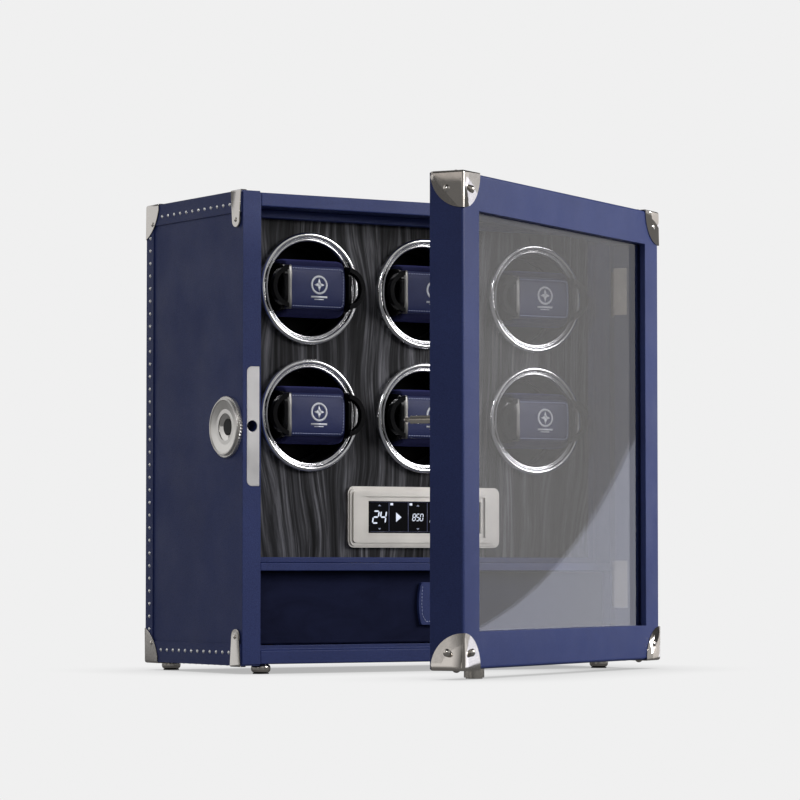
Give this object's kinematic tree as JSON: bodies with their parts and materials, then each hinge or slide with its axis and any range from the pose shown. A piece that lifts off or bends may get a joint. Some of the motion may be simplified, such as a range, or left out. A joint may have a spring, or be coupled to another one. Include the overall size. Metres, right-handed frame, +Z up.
{
  "type": "watch winder box",
  "caption": "Leather-covered watch winder cabinet with a framed glass door, turning cushion cups, a touch display and a storage drawer.",
  "frame": {"origin": "centre of the cabinet's footprint on the table, without the door", "axes": "+Z up, -Y towards the door and the user, +X to the user's right, where the door's hinges are"},
  "size_m": [0.428, 0.4182, 0.4215],
  "materials": {
    "navy_leather": "fine-grained navy leatherette",
    "back_cover": "dark leatherette board",
    "ebony_veneer": "dark grey-black wood veneer with upright grain",
    "nickel": "polished nickel",
    "satin_silver": "satin silver",
    "champagne_bezel": "satin champagne silver",
    "black_glass": "gloss black",
    "clear_glass": "clear float glass",
    "rubber": "black rubber",
    "lock_metal": "plain steel",
    "circuit_board": "green circuit board",
    "zinc_plate": "plain metal",
    "black_plastic": "gloss black",
    "navy_suede": "navy suede",
    "runner_wood": "plain beech"
  },
  "bodies": {
    "cabinet": {"side_panel_left": "navy_leather", "side_panel_right": "navy_leather", "top_panel": "navy_leather", "bottom_panel": "navy_leather", "shelf": "navy_leather", "panel_frame": "navy_leather", "trim_band_left": "navy_leather", "trim_band_right": "navy_leather", "back_panel": "back_cover", "rotor_panel": "ebony_veneer", "trim_rivets": "nickel", "corner_caps": "nickel", "corner_cap_rivets": "nickel", "feet": "nickel", "lock_rosette": "nickel", "cabinet_hinge_leaves": "nickel", "hinge_pins": "nickel", "rotor_rings": "nickel", "strike_plate": "satin_silver", "display_bezel": "champagne_bezel", "display_window": "black_glass", "foot_pads": "rubber", "lock_body": "lock_metal", "control_board": "circuit_board", "motor_bulkhead": "zinc_plate", "gearmotors": "zinc_plate", "dc_inlet": "black_plastic", "drawer_runners": "runner_wood"},
    "door": {"door_frame": "navy_leather", "door_glass": "clear_glass", "glass_bead": "navy_leather", "door_corner_caps": "nickel", "door_cap_rivets": "nickel", "latch_pin": "nickel", "door_foot": "nickel", "door_hinge_leaves": "nickel"},
    "drawer": {"drawer_box": "navy_suede", "drawer_front": "navy_suede", "pull_tab": "navy_leather", "pull_stud": "nickel"},
    "lock_button": {"fingerprint_button": "black_glass"},
    "lock_bolt": {"latch_bolt": "lock_metal"},
    "rotor_1": {"rotor_cup_1": "black_plastic"},
    "holder_1": {"watch_cushion_1": "navy_suede", "cushion_clip_1": "black_plastic"},
    "rotor_2": {"rotor_cup_2": "black_plastic"},
    "holder_2": {"watch_cushion_2": "navy_suede", "cushion_clip_2": "black_plastic"},
    "rotor_3": {"rotor_cup_3": "black_plastic"},
    "holder_3": {"watch_cushion_3": "navy_suede", "cushion_clip_3": "black_plastic"},
    "rotor_4": {"rotor_cup_4": "black_plastic"},
    "holder_4": {"watch_cushion_4": "navy_suede", "cushion_clip_4": "black_plastic"},
    "rotor_5": {"rotor_cup_5": "black_plastic"},
    "holder_5": {"watch_cushion_5": "navy_suede", "cushion_clip_5": "black_plastic"},
    "rotor_6": {"rotor_cup_6": "black_plastic"},
    "holder_6": {"watch_cushion_6": "navy_suede", "cushion_clip_6": "black_plastic"}
  },
  "joints": [
    {"name": "door_hinge", "type": "hinge", "parent": "cabinet", "child": "door", "pos_m": [0.2058, -0.0883, 0.2135], "axis": [0, 0, 1], "range_deg": [-31, 79]},
    {"name": "drawer_slide", "type": "slide", "parent": "cabinet", "child": "drawer", "axis": [0, -1, 0], "range_m": [0, 0.022]},
    {"name": "fingerprint_press", "type": "slide", "parent": "cabinet", "child": "lock_button", "axis": [1, 0, 0], "range_m": [0, 0.001], "stiffness_N_per_m": 600},
    {"name": "bolt_slide", "type": "slide", "parent": "cabinet", "child": "lock_bolt", "axis": [0, 0, -1], "range_m": [0, 0.0032]},
    {"name": "rotor_spin_1", "type": "hinge", "parent": "cabinet", "child": "rotor_1", "pos_m": [-0.12, -0.04, 0.3388], "axis": [0, -1, 0], "continuous": true},
    {"name": "cushion_pull_1", "type": "slide", "parent": "rotor_1", "child": "holder_1", "axis": [0, -1, 0], "range_m": [0, 0.05]},
    {"name": "rotor_spin_2", "type": "hinge", "parent": "cabinet", "child": "rotor_2", "pos_m": [0, -0.04, 0.3388], "axis": [0, -1, 0], "continuous": true},
    {"name": "cushion_pull_2", "type": "slide", "parent": "rotor_2", "child": "holder_2", "axis": [0, -1, 0], "range_m": [0, 0.05]},
    {"name": "rotor_spin_3", "type": "hinge", "parent": "cabinet", "child": "rotor_3", "pos_m": [0.12, -0.04, 0.3388], "axis": [0, -1, 0], "continuous": true},
    {"name": "cushion_pull_3", "type": "slide", "parent": "rotor_3", "child": "holder_3", "axis": [0, -1, 0], "range_m": [0, 0.05]},
    {"name": "rotor_spin_4", "type": "hinge", "parent": "cabinet", "child": "rotor_4", "pos_m": [-0.12, -0.04, 0.2266], "axis": [0, -1, 0], "continuous": true},
    {"name": "cushion_pull_4", "type": "slide", "parent": "rotor_4", "child": "holder_4", "axis": [0, -1, 0], "range_m": [0, 0.05]},
    {"name": "rotor_spin_5", "type": "hinge", "parent": "cabinet", "child": "rotor_5", "pos_m": [0, -0.04, 0.2266], "axis": [0, -1, 0], "continuous": true},
    {"name": "cushion_pull_5", "type": "slide", "parent": "rotor_5", "child": "holder_5", "axis": [0, -1, 0], "range_m": [0, 0.05]},
    {"name": "rotor_spin_6", "type": "hinge", "parent": "cabinet", "child": "rotor_6", "pos_m": [0.12, -0.04, 0.2266], "axis": [0, -1, 0], "continuous": true},
    {"name": "cushion_pull_6", "type": "slide", "parent": "rotor_6", "child": "holder_6", "axis": [0, -1, 0], "range_m": [0, 0.05]}
  ]
}
